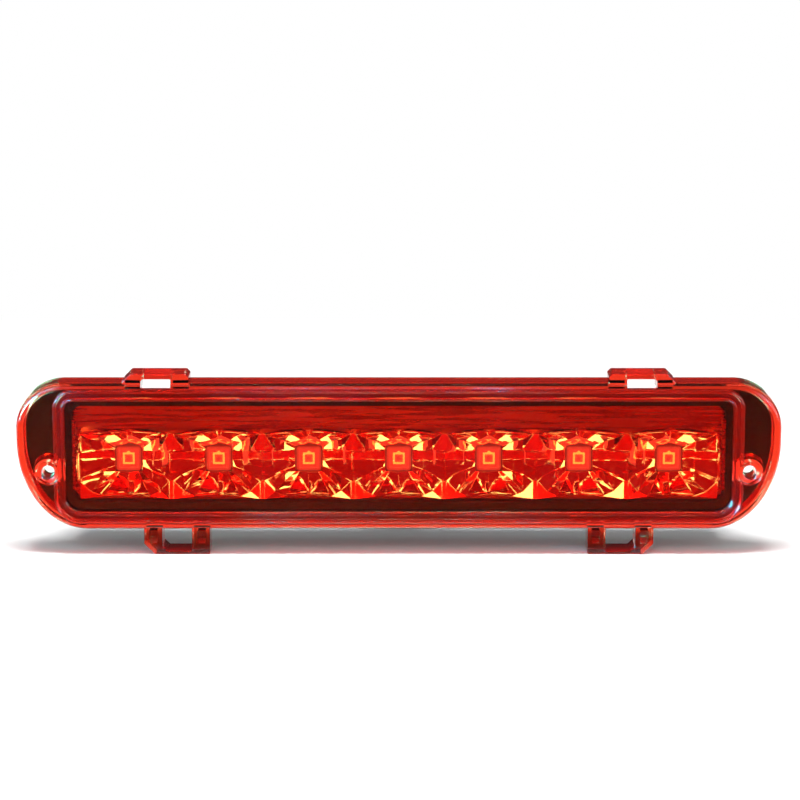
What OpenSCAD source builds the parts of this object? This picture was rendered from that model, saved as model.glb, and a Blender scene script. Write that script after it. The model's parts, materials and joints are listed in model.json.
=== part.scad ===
// Third brake light for a tailgate: a red moulded lens with four snap loops and two
// screw towers, a welded rear housing, a seven-cell reflector and an LED board.
// X runs along the lamp, +Y points into the vehicle and +Z points up. The origin is
// midway between the two screw holes, in the plane of the skirt's rear edge.

/* [Lens] */
// Width of the lens across its rounded ends
lens_w = 226; // [225:0.5:228]
// Height of the lens without its snap loops
lens_h = 44.2; // [44:0.2:44.6]
// Height of the lens centre above the screw holes
lens_mid = 5; // [4.9:0.1:5.1]
// Depth of the skirt from its rear edge to the front face
skirt_depth = 10; // [9.5:0.5:11]
// Thickness of the skirt wall
skirt_t = 2; // [1.6:0.1:2]
// Thickness of the front plate
plate_t = 2.4; // [2:0.1:2.6]
// Radius of the two upper corners
upper_r = 14; // [12:0.5:15]
// Width of each lower corner's sweep
lower_sweep = 20.6; // [18:0.2:22]
// Height of the widest point above the lens centre
wide_rise = 4.5; // [3:0.5:6]

/* [Rim] */
// Height of the rim's centre above the screw holes
rim_mid = 5; // [4.9:0.1:5.1]
// Half width of the rim at its outer ridge
rim_half_w = 102.1; // [102:0.1:102.5]
// Half height of the rim at its outer ridge
rim_half_h = 20.3; // [20.2:0.1:20.4]
// Radius of the rim's upper corners
rim_upper_r = 6; // [5:0.5:7]
// Radius of the rim's lower corners
rim_lower_r = 8; // [7:0.5:9]
// Width of each ridge
ridge_w = 1.2; // [1:0.1:1.4]
// Height of each ridge above the front face
ridge_h = 0.9; // [0.6:0.1:1.2]
// Distance from the outer ridge to the inner ridge
ridge_step = 2.4; // [2.3:0.1:2.6]

/* [Fixings] */
// Distance between the two screw holes
screw_span = 208; // [207.6:0.1:208.4]
// Radius of each screw hole
screw_hole_r = 1.95; // [1.8:0.05:2.2]
// Radius of the recess for the screw head
screw_recess_r = 3.3; // [3:0.1:3.4]
// Depth of the recess for the screw head
screw_recess_d = 1.6; // [1:0.1:2]
// Radius of the tower at its rear end
tower_r = 4.6; // [4.4:0.1:4.6]
// Outer width of a snap loop
loop_w = 19.6; // [19:0.2:20]
// Width of a snap loop's window
loop_window = 8.8; // [8.6:0.1:9.4]
// Thickness of an upper loop's crossbar
top_loop_bar = 1.7; // [1.5:0.1:1.8]
// Thickness of a lower loop's crossbar
low_loop_bar = 1; // [0.9:0.1:1.4]
// Distance of the upper loops from the lamp's centre
top_loop_x = 71.6; // [68:0.2:74]
// Reach of the upper loops above the lens
top_loop_rise = 2.8; // [2.8:0.1:3.4]
// Distance of the lower loops from the lamp's centre
low_loop_x = 65.9; // [62:0.1:70]
// Reach of the lower loops below the lens
low_loop_rise = 7.7; // [7.6:0.1:9]

/* [Housing] */
// Half width of the housing's cavity
cavity_half_w = 97.2; // [97:0.1:97.3]
// Lower face of the cavity
cavity_low = -10.1; // [-10.2:0.1:-10]
// Upper face of the cavity
cavity_high = 19.1; // [18.9:0.1:19.2]
// Thickness of the housing wall
housing_t = 1.6; // [1.4:0.1:1.6]
// Outer face of the housing's rear wall
housing_back = 15; // [15:0.5:18]

/* [Light sources] */
// Height of the lamp row above the screw holes
led_z = 1.6; // [1.5:0.1:1.9]
// Number of cells and lamps
cells = 7; // [7:1:7]
// Distance between neighbouring cells
pitch = 27; // [26.8:0.1:27.1]
// Half height of a cell
cell_half_h = 9.9; // [9.6:0.1:10.2]
// Side of a square lamp body
led_side = 7.4; // [7.3:0.1:7.6]
// Front face of the lamp bodies
led_front = 4; // [3.8:0.1:4.2]

/* [Hidden] */
$fn = 96;

// Depths along Y
front_y = -skirt_depth;
plate_back = front_y + plate_t;
leg_back = -3;
flange_t = 1.8;
flange_back = leg_back + flange_t;

// Rim, weld leg and gasket
rim_low = rim_mid - rim_half_h;
rim_high = rim_mid + rim_half_h;
leg_in = 1.2;
leg_t = 1.7;
flange_gap = 0.3;
gasket_gap = 0.5;
gasket_back = 1.5;
notch_drop = 3.4;
gasket_notch_drop = 4.5;
gap = 0.1;

// Screw towers
tower_x = screw_span / 2;
tower_front_r = 3.9;

// Snap loops
loop_base = 1.5;
loop_front = front_y + 0.5;
top_chamfer = 2.4;
low_chamfer = 3.2;
window_drop = 1.8;
top_corner = 1;
low_corner = 0.3;
pocket_w = 2.6;
pocket_h = 3.9;
pocket_depth = 8.5;
pocket_gap = 0.4;

// Reflector: each bowl is a paraboloid around its lamp
bowl_mouth_y = -0.5;
bowl_r0 = 4.2;
bowl_rise = (led_front - bowl_mouth_y) / (pow(cell_half_h, 2) - pow(bowl_r0, 2));
bowl_wall = 1.1;
bowl_steps = 9;
bowl_reach = 18;
divider_front = -6.9;
reflector_half_w = 95.2;
apron_front = -0.5;
apron_t = 1.5;
apron_gap = 0.2;
lip_t = 1;
lip_front = -4;
lip_high = 15;
led_window = led_side + 0.8;

// Board and lamps
board_front = 6.6;
board_t = 1.6;
board_back = board_front + board_t;
board_half_w = 93;
board_low = led_z - 9;
board_high = led_z + 9;
led_back = board_front - 0.2;
led_corner = 0.9;
dome_r = 1.6;
pin_offset = 2.54;
pin_r = 0.3;
pin_hole_r = 0.4;
pin_end = board_back + 1.2;
frame_y = 5.3;
frame_t = 0.4;
frame_half = 3.2;
chip_side = 0.7;
chip_t = 0.3;
pad_gap = 0.5;

// Board screws and their posts in the housing
post_xs = [-2.5 * pitch, -0.5 * pitch, 0.5 * pitch, 2.5 * pitch];
post_r = 3.2;
board_screw_r = 1.25;
board_screw_len = 5;
screw_head_r = 2.4;
screw_head_h = 1.7;
board_hole_r = 1.4;

// Stiffening ribs on the housing's upper and lower walls
rib_xs = [for (i = [-2.5:1:2.5]) i * 32];
rib_t = 1.4;
rib_h = 1.2;
rib_front = 4;

// Connector header at the rear
header_z = 5;
header_half_w = 9.5;
header_half_h = 6.5;
header_wall = 1.5;
header_corner = 2;
header_end = housing_back + 10;
header_flange = 2;
header_flange_t = 1.6;
header_neck_r = 5.6;
header_floor = housing_back + header_flange_t;
latch_size = [5, 3, 1.1];
latch_y = housing_back + 5;
seal_r = 0.9;
blade_x = 3.2;
blade_w = 2.8;
blade_t = 0.8;
tail_w = 1.2;
tail_rise = blade_w / 2 - tail_w;
tail_gap = 0.15;
blade_start = 11.5;
blade_end = housing_back + 8;

// Vent in the rear wall
vent_x = -60;
vent_r = 1.5;
vent_patch_r = 6;
vent_patch_t = 0.5;

// Parts on the rear of the board
resistor_size = [5, 0.6, 2.5];
resistor_cap = 0.6;
resistor_xs = [-74, -47, -34, 34, 47, 74];
diode_size = [4.4, 2.2, 3.6];
suppressor_size = [6.8, 2.3, 5.8];
capacitor_size = [3.2, 1.6, 2.5];
lead_t = 0.2;
lead_w = 1.9;
lead_reach = 0.5;

function cell_x(i) = (i - (cells - 1) / 2) * pitch;
function bowl_y(r) = led_front - bowl_rise * (r * r - bowl_r0 * bowl_r0);

// Extrudes a shape drawn in the XZ plane from y0 to y1.
module along_y(y0, y1) {
    translate([0, y1, 0]) rotate([90, 0, 0]) linear_extrude(y1 - y0) children();
}

// Round bar along Y at (x, z).
module rod(x, z, r, y0, y1) {
    translate([x, y1, z]) rotate([90, 0, 0]) cylinder(r = r, h = y1 - y0);
}

// Block given by its lowest corner and its size.
module block(low, size) {
    translate(low) cube(size);
}

// Rectangle with its own radius at the upper and the lower corners.
module rounded(half_w, low, high, r_low, r_high) {
    for (side = [-1, 1]) {
        translate([side * (half_w - r_low), low + r_low]) circle(r = r_low);
        translate([side * (half_w - r_high), high - r_high]) circle(r = r_high);
    }
    translate([-half_w + r_low, low]) square([2 * (half_w - r_low), high - low - r_high]);
    translate([-half_w + r_high, high - r_high - 1]) square([2 * (half_w - r_high), r_high + 1]);
    translate([-half_w, low + r_low]) square([2 * half_w, high - low - r_low - r_high]);
}

// Outline of the lens, drawn in by inset.
module lens_outline(inset) {
    lower_h = lens_h / 2 + wide_rise;
    for (side = [0, 1]) {
        mirror([side, 0]) translate([0, lens_mid]) {
            translate([lens_w / 2 - upper_r, lens_h / 2 - upper_r]) circle(r = upper_r - inset);
            intersection() {
                translate([lens_w / 2 - lower_sweep, wide_rise])
                    scale([lower_sweep - inset, lower_h - inset]) circle(r = 1);
                translate([0, -lens_h]) square([lens_w, lens_h + wide_rise]);
            }
            translate([-1, wide_rise])
                square([lens_w / 2 - inset + 1, lens_h / 2 - upper_r - wide_rise]);
            translate([-1, wide_rise])
                square([lens_w / 2 - upper_r + 1, lens_h / 2 - inset - wide_rise]);
            translate([-1, -lens_h / 2 + inset])
                square([lens_w / 2 - lower_sweep + 1, lower_h - inset]);
        }
    }
}

// Outline of the rim, drawn in by inset.
module rim_outline(inset) {
    rounded(rim_half_w - inset, rim_low + inset, rim_high - inset, rim_lower_r - inset,
        rim_upper_r - inset);
}

// Closed band that follows the rim.
module rim_band(inset, width) {
    difference() {
        rim_outline(inset);
        rim_outline(inset + width);
    }
}

// Loop profile standing on z = 0, with its chamfer towards +X and a small corner at -X.
module loop_profile(rise, chamfer, corner) {
    polygon([
        [-loop_w / 2, -loop_base],
        [loop_w / 2, -loop_base],
        [loop_w / 2, rise - chamfer],
        [loop_w / 2 - chamfer, rise],
        [-loop_w / 2 + corner, rise],
        [-loop_w / 2, rise - corner]
    ]);
}

// Window through a loop from low up to the crossbar at top.
module loop_opening(low, top, chamfer) {
    polygon([
        [-loop_window / 2, low],
        [loop_window / 2, low],
        [loop_window / 2, top - chamfer],
        [loop_window / 2 - chamfer, top],
        [-loop_window / 2, top]
    ]);
}

// Places children at the upper loops, with +X towards the lamp's end.
module at_top_loops() {
    for (side = [0, 1])
        mirror([side, 0]) translate([top_loop_x, lens_mid + lens_h / 2]) children();
}

// Places children at the lower loops, with +Y of the profile downwards.
module at_low_loops() {
    for (side = [0, 1])
        mirror([side, 0]) translate([low_loop_x, lens_mid - lens_h / 2]) mirror([0, 1]) children();
}

module towers() {
    for (side = [-1, 1])
        translate([side * tower_x, 0, 0]) rotate([90, 0, 0])
            cylinder(r1 = tower_r, r2 = tower_front_r, h = skirt_depth);
}

module lens() {
    color([0.75, 0.02, 0.02, 0.6]) difference() {
        union() {
            along_y(front_y, 0) difference() {
                lens_outline(0);
                lens_outline(skirt_t);
            }
            along_y(front_y, plate_back) lens_outline(0);
            along_y(front_y - ridge_h, front_y) {
                rim_band(0, ridge_w);
                rim_band(ridge_step, ridge_w);
            }
            along_y(plate_back, leg_back) rim_band(leg_in, leg_t);
            towers();
            along_y(loop_front, 0) at_top_loops() loop_profile(top_loop_rise, top_chamfer, top_corner);
            along_y(loop_front, 0) at_low_loops() loop_profile(low_loop_rise, low_chamfer, low_corner);
        }
        // Windows of the loops; behind the plate the upper ones clear the whole skirt wall.
        along_y(front_y - 1, 1) at_top_loops()
            loop_opening(-window_drop, top_loop_rise - top_loop_bar, top_chamfer / 4);
        along_y(plate_back, 1) at_top_loops()
            translate([-loop_window / 2, -skirt_t - 0.2]) square([loop_window, 2]);
        along_y(front_y - 1, 1) at_low_loops()
            loop_opening(0, low_loop_rise - low_loop_bar, low_chamfer / 2);
        // Pockets that core out the lower legs.
        along_y(front_y - 1, front_y + pocket_depth) at_low_loops()
            for (x = [-loop_w / 2 + 1.2, loop_window / 2 + 1.4])
                translate([x, pocket_gap]) square([pocket_w, pocket_h]);
        for (side = [-1, 1]) {
            rod(side * tower_x, 0, screw_hole_r, front_y - 1, 1);
            rod(side * tower_x, 0, screw_recess_r, front_y - 1, front_y + screw_recess_d);
        }
    }
}

// Notches of a given depth in the flange and the gasket behind the upper windows.
module window_notches(drop) {
    along_y(leg_back - 1, gasket_back + 1) at_top_loops()
        translate([-loop_window / 2 - 0.5, -drop]) square([loop_window + 1, drop]);
}

module tower_clearance() {
    for (side = [-1, 1]) rod(side * tower_x, 0, tower_r + 0.2, leg_back - 1, gasket_back + 1);
}

module cavity_outline(grow) {
    rounded(cavity_half_w + grow, cavity_low - grow, cavity_high + grow, 4 + grow, 3 + grow);
}

module header_outline(grow) {
    translate([0, header_z])
        rounded(header_half_w + grow, -header_half_h - grow, header_half_h + grow,
            header_corner + grow, header_corner + grow);
}

module housing() {
    color([0.06, 0.06, 0.065]) difference() {
        union() {
            difference() {
                along_y(leg_back, flange_back) lens_outline(skirt_t + flange_gap);
                tower_clearance();
                window_notches(notch_drop);
            }
            along_y(leg_back, housing_back) cavity_outline(housing_t);
            for (x = rib_xs)
                block([x - rib_t / 2, rib_front, cavity_low - housing_t - rib_h],
                    [rib_t, housing_back - rib_front, cavity_high - cavity_low + 2 * (housing_t + rib_h)]);
        }
        difference() {
            along_y(leg_back - 1, housing_back - housing_t) cavity_outline(0);
            for (x = post_xs) rod(x, led_z, post_r, board_back, housing_back);
        }
        for (x = post_xs) rod(x, led_z, board_screw_r, board_back - 1, board_back + board_screw_len);
        rod(0, header_z, header_neck_r + gap, housing_back - 5, housing_back + 1);
        rod(vent_x, header_z, vent_r, housing_back - 5, housing_back + 1);
    }
}

module perimeter_gasket() {
    color([0.1, 0.1, 0.11]) difference() {
        along_y(flange_back, gasket_back) difference() {
            lens_outline(skirt_t + gasket_gap);
            cavity_outline(housing_t + gap);
        }
        tower_clearance();
        window_notches(gasket_notch_drop);
    }
}

// Section of a bowl's wall, with radius along X and -Y of the lamp along Y.
module bowl_section() {
    rs = [for (i = [0:bowl_steps]) bowl_r0 + (bowl_reach - bowl_r0) * i / bowl_steps];
    polygon(concat(
        [for (r = rs) [r, -bowl_y(r)]],
        [for (i = [bowl_steps:-1:0]) [rs[i], -bowl_y(rs[i]) - bowl_wall * (1 + i / bowl_steps)]]
    ));
}

module bowl_space() {
    rs = [for (i = [0:bowl_steps]) bowl_r0 + (bowl_reach - bowl_r0) * i / bowl_steps];
    rotate([90, 0, 0]) rotate_extrude()
        polygon(concat([[0, -led_front]], [for (r = rs) [r, -bowl_y(r)]], [[0, -bowl_y(bowl_reach)]]));
}

// Half width of a cell on each side; the end cells reach the reflector's end.
function cell_low_x(i) = i == 0 ? -reflector_half_w : cell_x(i) - pitch / 2;
function cell_high_x(i) = i == cells - 1 ? reflector_half_w : cell_x(i) + pitch / 2;

module reflector() {
    color([0.85, 0.82, 0.8]) difference() {
        union() {
            for (i = [0:cells - 1]) intersection() {
                translate([cell_x(i), 0, led_z]) rotate([90, 0, 0]) rotate_extrude() bowl_section();
                block([cell_low_x(i), divider_front, led_z - cell_half_h],
                    [cell_high_x(i) - cell_low_x(i), 20, 2 * cell_half_h]);
            }
            along_y(apron_front, apron_front + apron_t) cavity_outline(-apron_gap);
            for (side = [-1, 1])
                block([side * (cavity_half_w - apron_gap - lip_t / 2) - lip_t / 2, lip_front,
                    cavity_low + 4], [lip_t, apron_front - lip_front, lip_high - cavity_low - 4]);
            for (z = [board_low + 0.4, board_high - 1.6])
                block([-88, apron_front + apron_t, z], [176, board_front - apron_front - apron_t, 1.2]);
        }
        for (i = [0:cells - 1]) {
            intersection() {
                translate([cell_x(i), 0, led_z]) bowl_space();
                block([cell_low_x(i), divider_front - 1, led_z - cell_half_h],
                    [cell_high_x(i) - cell_low_x(i), 20, 2 * cell_half_h]);
            }
            block([cell_x(i) - led_window / 2, led_front - 3, led_z - led_window / 2],
                [led_window, 5, led_window]);
        }
    }
}

// The two halves of each lamp's lead frame with their four pins.
module lead_frame() {
    for (side = [0, 1]) mirror([side, 0, 0]) {
        block([pad_gap / 2, frame_y, -frame_half], [frame_half - pad_gap / 2, frame_t, 2 * frame_half]);
        for (z = [-pin_offset, pin_offset]) rod(pin_offset, z, pin_r, frame_y, pin_end);
    }
}

module chip() {
    block([pad_gap / 2 + 0.1, frame_y - chip_t, -chip_side / 2], [chip_side, chip_t, chip_side]);
}

module lamp(i) {
    color([0.95, 0.25, 0.3]) translate([cell_x(i), 0, led_z]) difference() {
        union() {
            along_y(led_front, led_back)
                rounded(led_side / 2, -led_side / 2, led_side / 2, led_corner, led_corner);
            translate([0, led_front, 0]) sphere(r = dome_r);
        }
        lead_frame();
        chip();
    }
}

module led_1() { lamp(0); }
module led_2() { lamp(1); }
module led_3() { lamp(2); }
module led_4() { lamp(3); }
module led_5() { lamp(4); }
module led_6() { lamp(5); }
module led_7() { lamp(6); }

module led_lead_frames() {
    color([0.8, 0.78, 0.72]) for (i = [0:cells - 1]) translate([cell_x(i), 0, led_z]) lead_frame();
}

module led_chips() {
    color([0.9, 0.6, 0.1]) for (i = [0:cells - 1]) translate([cell_x(i), 0, led_z]) chip();
}

module circuit_board() {
    color([0.9, 0.9, 0.86]) difference() {
        block([-board_half_w, board_front, board_low],
            [2 * board_half_w, board_t, board_high - board_low]);
        for (i = [0:cells - 1], dx = [-pin_offset, pin_offset], dz = [-pin_offset, pin_offset])
            rod(cell_x(i) + dx, led_z + dz, pin_hole_r, board_front - 1, board_back + 1);
        for (x = post_xs) rod(x, led_z, board_hole_r, board_front - 1, board_back + 1);
        for (side = [-1, 1])
            block([side * blade_x - blade_t / 2 - tail_gap, board_front - 1, header_z + tail_rise - tail_gap],
                [blade_t + 2 * tail_gap, 4, tail_w + 2 * tail_gap]);
    }
}

module chip_resistor(x, z) {
    block([x - resistor_size[0] / 2, board_back, z - resistor_size[2] / 2], resistor_size);
}

module series_resistors() {
    color([0.08, 0.08, 0.08]) for (x = resistor_xs) chip_resistor(x, led_z + 5.2);
}

// Moulded surface-mount part with a bent lead at each end.
module moulded_part(x, z, size) {
    block([x - size[0] / 2, board_back + lead_t, z - size[2] / 2], size);
    for (side = [-1, 1])
        block([x + side * (size[0] / 2 + lead_reach / 2) - lead_reach / 2 - 0.3, board_back, z - lead_w / 2],
            [lead_reach + 0.6, lead_t, lead_w]);
}

module reverse_diode() {
    color([0.1, 0.1, 0.1]) moulded_part(22, led_z - 5, diode_size);
}

module surge_suppressor() {
    color([0.1, 0.1, 0.1]) moulded_part(-22, led_z - 5, suppressor_size);
}

module filter_capacitor() {
    color([0.65, 0.5, 0.35]) block([-8 - capacitor_size[0], board_back, led_z - 7], capacitor_size);
}

module connector_header() {
    color([0.12, 0.12, 0.13]) difference() {
        union() {
            along_y(housing_back, header_end) header_outline(0);
            along_y(housing_back, housing_back + header_flange_t) header_outline(header_flange);
            rod(0, header_z, header_neck_r, housing_back - housing_t, housing_back + 1);
            block([-latch_size[0] / 2, latch_y, header_z + header_half_h - 0.1], latch_size);
        }
        along_y(header_floor, header_end + 1) header_outline(-header_wall);
        for (side = [-1, 1])
            block([side * blade_x - blade_t / 2, housing_back - 5, header_z - blade_w / 2],
                [blade_t, 10, blade_w]);
        translate([0, housing_back, header_z]) rotate([90, 0, 0])
            rotate_extrude() translate([header_neck_r + 1, 0]) circle(r = seal_r, $fn = 48);
    }
}

// O-ring in the groove under the header's flange.
module header_seal() {
    color([0.5, 0.1, 0.05]) difference() {
        translate([0, housing_back, header_z]) rotate([90, 0, 0])
            rotate_extrude() translate([header_neck_r + 1, 0]) circle(r = seal_r, $fn = 48);
        block([-20, housing_back - 2, -20], [40, 2, 40]);
    }
}

// Blade that runs from the board into the socket.
module terminal(side) {
    color([0.85, 0.7, 0.4]) {
        block([side * blade_x - blade_t / 2, blade_start, header_z - blade_w / 2],
            [blade_t, blade_end - blade_start, blade_w]);
        block([side * blade_x - blade_t / 2, board_front - 0.8, header_z + tail_rise],
            [blade_t, blade_start + 1.5 - board_front, tail_w]);
    }
}

module terminal_feed() { terminal(-1); }
module terminal_ground() { terminal(1); }

module board_screws() {
    color([0.7, 0.7, 0.72]) for (x = post_xs) {
        rod(x, led_z, screw_head_r, board_front - screw_head_h, board_front);
        rod(x, led_z, board_screw_r, board_front - 0.5, board_back + board_screw_len - 1);
    }
}

module vent_membrane() {
    color([0.85, 0.85, 0.83]) rod(vent_x, header_z, vent_patch_r, housing_back, housing_back + vent_patch_t);
}

lens();
housing();
perimeter_gasket();
reflector();
circuit_board();
led_1();
led_2();
led_3();
led_4();
led_5();
led_6();
led_7();
led_lead_frames();
led_chips();
series_resistors();
reverse_diode();
surge_suppressor();
filter_capacitor();
connector_header();
header_seal();
terminal_feed();
terminal_ground();
board_screws();
vent_membrane();
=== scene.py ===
"""Third brake light: the looks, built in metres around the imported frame.

The lens, reflector, lamps, housing, gasket and header are rebuilt here with rounded edges,
facets and moulding detail. The other CAD nodes keep their shape and get a finer material.
Sizes are in millimetres until piece() turns a mesh into an object.
"""

import json
import math

import bmesh
import bpy
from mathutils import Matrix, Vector, noise


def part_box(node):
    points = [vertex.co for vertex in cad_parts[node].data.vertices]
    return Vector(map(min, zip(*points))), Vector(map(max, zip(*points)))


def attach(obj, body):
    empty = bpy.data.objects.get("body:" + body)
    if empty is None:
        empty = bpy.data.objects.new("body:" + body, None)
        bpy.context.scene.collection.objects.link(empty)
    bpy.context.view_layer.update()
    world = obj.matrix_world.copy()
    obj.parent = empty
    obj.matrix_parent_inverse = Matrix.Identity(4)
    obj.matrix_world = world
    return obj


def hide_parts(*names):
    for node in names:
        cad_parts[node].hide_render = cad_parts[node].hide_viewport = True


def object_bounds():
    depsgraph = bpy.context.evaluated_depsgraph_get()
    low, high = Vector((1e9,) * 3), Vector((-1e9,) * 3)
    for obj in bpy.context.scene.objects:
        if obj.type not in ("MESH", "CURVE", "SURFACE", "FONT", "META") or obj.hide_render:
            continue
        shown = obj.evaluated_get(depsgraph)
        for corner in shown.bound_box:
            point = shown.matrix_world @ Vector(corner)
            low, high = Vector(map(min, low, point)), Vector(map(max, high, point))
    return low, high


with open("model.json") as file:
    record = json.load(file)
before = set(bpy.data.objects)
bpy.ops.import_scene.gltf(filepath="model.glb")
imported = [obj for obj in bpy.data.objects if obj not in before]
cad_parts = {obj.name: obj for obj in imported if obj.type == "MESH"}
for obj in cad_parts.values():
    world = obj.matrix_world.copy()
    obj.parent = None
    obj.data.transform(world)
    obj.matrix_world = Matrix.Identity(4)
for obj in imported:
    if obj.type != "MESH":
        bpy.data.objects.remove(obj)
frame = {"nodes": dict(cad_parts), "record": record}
cad_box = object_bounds()
MM = 0.001
TURN = 2 * math.pi


def box_mm(node):
    """Lowest and highest corners of a CAD node in millimetres."""
    return [tuple(v / MM for v in corner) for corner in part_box(node)]


# ---------------------------------------------------------------- driving sizes, mm
LENS_LOW, LENS_HIGH = box_mm("lens")
MOUNTS = {m["name"]: m for m in frame["record"]["mounts"]}

LENS_HALF_W = LENS_HIGH[0]
LENS_H = 44.2
LENS_MID = 5.0
RIDGE_H = 0.9
FRONT_Y = LENS_LOW[1] + RIDGE_H
PLATE_T = 2.4
PLATE_BACK = FRONT_Y + PLATE_T
SKIRT_T = 2.0
UPPER_R = 14.0
LOWER_SWEEP = 20.6
WIDE_RISE = 4.5
EDGE_R = 1.5

RIM_MID = 5.0
RIM_HALF_W = 102.1
RIM_HALF_H = 20.3
RIM_UPPER_R = 6.0
RIM_LOWER_R = 8.0
RIM_MEAN_R = (RIM_UPPER_R + RIM_LOWER_R) / 2
RIDGE_W = 1.2
RIDGE_STEP = 2.4
LEG_IN = 1.2
LEG_T = 1.7
LEG_BACK = -3.0

TOWER_X = MOUNTS["screw_holes"]["dims"]["spacing_x_mm"] / 2
HOLE_R = MOUNTS["screw_holes"]["dims"]["hole_r_mm"]
RECESS_R = MOUNTS["head_recess_right"]["dims"]["r_mm"]
RECESS_D = MOUNTS["head_recess_right"]["dims"]["length_mm"]
TOWER_R = 4.6
TOWER_FRONT_R = 3.9
TOWER_CLEAR = 0.2

LOOP_W = 19.6
LOOP_WINDOW = 8.8
TOP_BAR = 1.7
LOW_BAR = 1.0
LOOP_FRONT = FRONT_Y + 0.5
LOOP_FOOT = -1.5
TOP_LOOP_X = 71.6
TOP_LOOP_RISE = 2.8
TOP_CORNER = 1.0
TOP_CHAMFER = 2.4
LOW_LOOP_X = 65.9
LOW_LOOP_RISE = 7.7
LOW_CORNER = 0.3
LOW_CHAMFER = 3.2
WINDOW_DROP = 1.8
POCKET_W = 2.6
POCKET_H = 3.9
POCKET_DEPTH = 8.5
POCKET_GAP = 0.4
NOTCH_DROP = 3.4
GASKET_NOTCH_DROP = 4.5

CELLS = 7
PITCH = 27.0
CELL_HALF_H = 9.9
LED_Z = 1.6
LED_SIDE = 7.4
LED_FRONT = 4.0
LED_BACK = box_mm("led_4")[1][1]
LED_CORNER = 0.9
LED_WELL = LED_FRONT + 0.4
PAD_HALF = 1.75
PAD_WIDTH = 0.55
REFLECTOR_HALF_W = 95.2
DIVIDER_FRONT = -6.9
APRON_FRONT = -0.5
APRON_T = 1.5
LIP_T = 1.0
LIP_FRONT = -4.0
LIP_RAISE = 4.0
LIP_HIGH = 15.0

CAVITY_HALF_W = 97.2
CAVITY_LOW = -10.1
CAVITY_HIGH = 19.1
HOUSING_T = 1.6
HOUSING_BACK = box_mm("housing")[1][1]
FLANGE_GAP = 0.3
FLANGE_BACK = LEG_BACK + 1.8
GASKET_GAP = 0.5
GASKET_BACK = box_mm("perimeter_gasket")[1][1]
RIBS = 6
RIB_PITCH = 32.0
RIB_T = 1.4
RIB_H = 1.2
RIB_FRONT = 4.0
POST_R = 3.2
POST_PITCHES = (-2.5, -0.5, 0.5, 2.5)
MARK_R = 2.2
MARK_XS = (22, 40, 82)

HEADER_Z = 5.0
HEADER_HALF_W = 9.5
HEADER_HALF_H = 6.5
HEADER_WALL = 1.5
HEADER_CORNER = 2.0
HEADER_END = box_mm("connector_header")[1][1]
HEADER_FLANGE = 2.0
HEADER_FLANGE_T = 1.6
HEADER_NECK_R = 5.6
HEADER_FLOOR = HOUSING_BACK + HEADER_FLANGE_T
VENT_X = -60.0
VENT_R = 1.5


# ---------------------------------------------------------------- mesh helpers
def link(obj):
    """Puts an object in the scene."""
    bpy.context.scene.collection.objects.link(obj)
    return obj


def mesh_of(bm, name):
    """Mesh datablock of a bmesh, which is freed."""
    mesh = bpy.data.meshes.new(name)
    bm.to_mesh(mesh)
    bm.free()
    return mesh


def piece(name, bm, materials, replaces=(), smooth_angle=35):
    """Turns a bmesh in millimetres into a piece that rides on the root body."""
    bmesh.ops.scale(bm, vec=(MM, MM, MM), verts=bm.verts)
    mesh = mesh_of(bm, name)
    for material in materials:
        mesh.materials.append(material)
    for face in mesh.polygons:
        face.use_smooth = True
    mesh.set_sharp_from_angle(angle=math.radians(smooth_angle))
    obj = link(bpy.data.objects.new(name, mesh))
    modifier = obj.modifiers.new("weights", "WEIGHTED_NORMAL")
    modifier.keep_sharp = True
    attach(obj, "root")
    if replaces:
        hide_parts(*replaces)
    return obj


def temp_object(bm):
    """Helper object for the booleans."""
    bmesh.ops.recalc_face_normals(bm, faces=bm.faces)
    return link(bpy.data.objects.new("temp", mesh_of(bm, "temp")))


def combined(base, parts):
    """The bmesh of base after each (operation, bmesh) of parts, all in millimetres."""
    target = temp_object(base)
    helpers = []
    for operation, bm in parts:
        helper = temp_object(bm)
        helpers.append(helper)
        modifier = target.modifiers.new("step", "BOOLEAN")
        modifier.operation = operation
        modifier.solver = "EXACT"
        modifier.object = helper
    bpy.context.view_layer.update()
    evaluated = target.evaluated_get(bpy.context.evaluated_depsgraph_get())
    result = bmesh.new()
    result.from_mesh(evaluated.to_mesh())
    evaluated.to_mesh_clear()
    for obj in [target] + helpers:
        mesh = obj.data
        bpy.data.objects.remove(obj)
        bpy.data.meshes.remove(mesh)
    bmesh.ops.remove_doubles(result, verts=result.verts, dist=0.0005)
    return result


def ring_of(bm, loop, y):
    return [bm.verts.new((x, y, z)) for x, z in loop]


def strip(bm, ring_a, ring_b):
    """Quads between two rings of equal length."""
    count = len(ring_a)
    for i in range(count):
        j = (i + 1) % count
        bm.faces.new((ring_a[i], ring_a[j], ring_b[j], ring_b[i]))


def stacked(sections, capped=True):
    """Solid from a list of (loop, y); with capped False the last ring joins the first."""
    bm = bmesh.new()
    rings = [ring_of(bm, loop, y) for loop, y in sections]
    for ring_a, ring_b in zip(rings, rings[1:]):
        strip(bm, ring_a, ring_b)
    if capped:
        bm.faces.new(rings[0])
        bm.faces.new(rings[-1])
    else:
        strip(bm, rings[-1], rings[0])
    bmesh.ops.recalc_face_normals(bm, faces=bm.faces)
    return bm


def circle_loop(x, z, radius, steps=48):
    angles = [TURN * i / steps for i in range(steps)]
    return [(x + radius * math.cos(angle), z + radius * math.sin(angle)) for angle in angles]


def lathe(profile, x, z, steps=48):
    """Solid around the Y axis at (x, z) from a list of (radius, y)."""
    return stacked([(circle_loop(x, z, radius, steps), y) for radius, y in profile])


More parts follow.
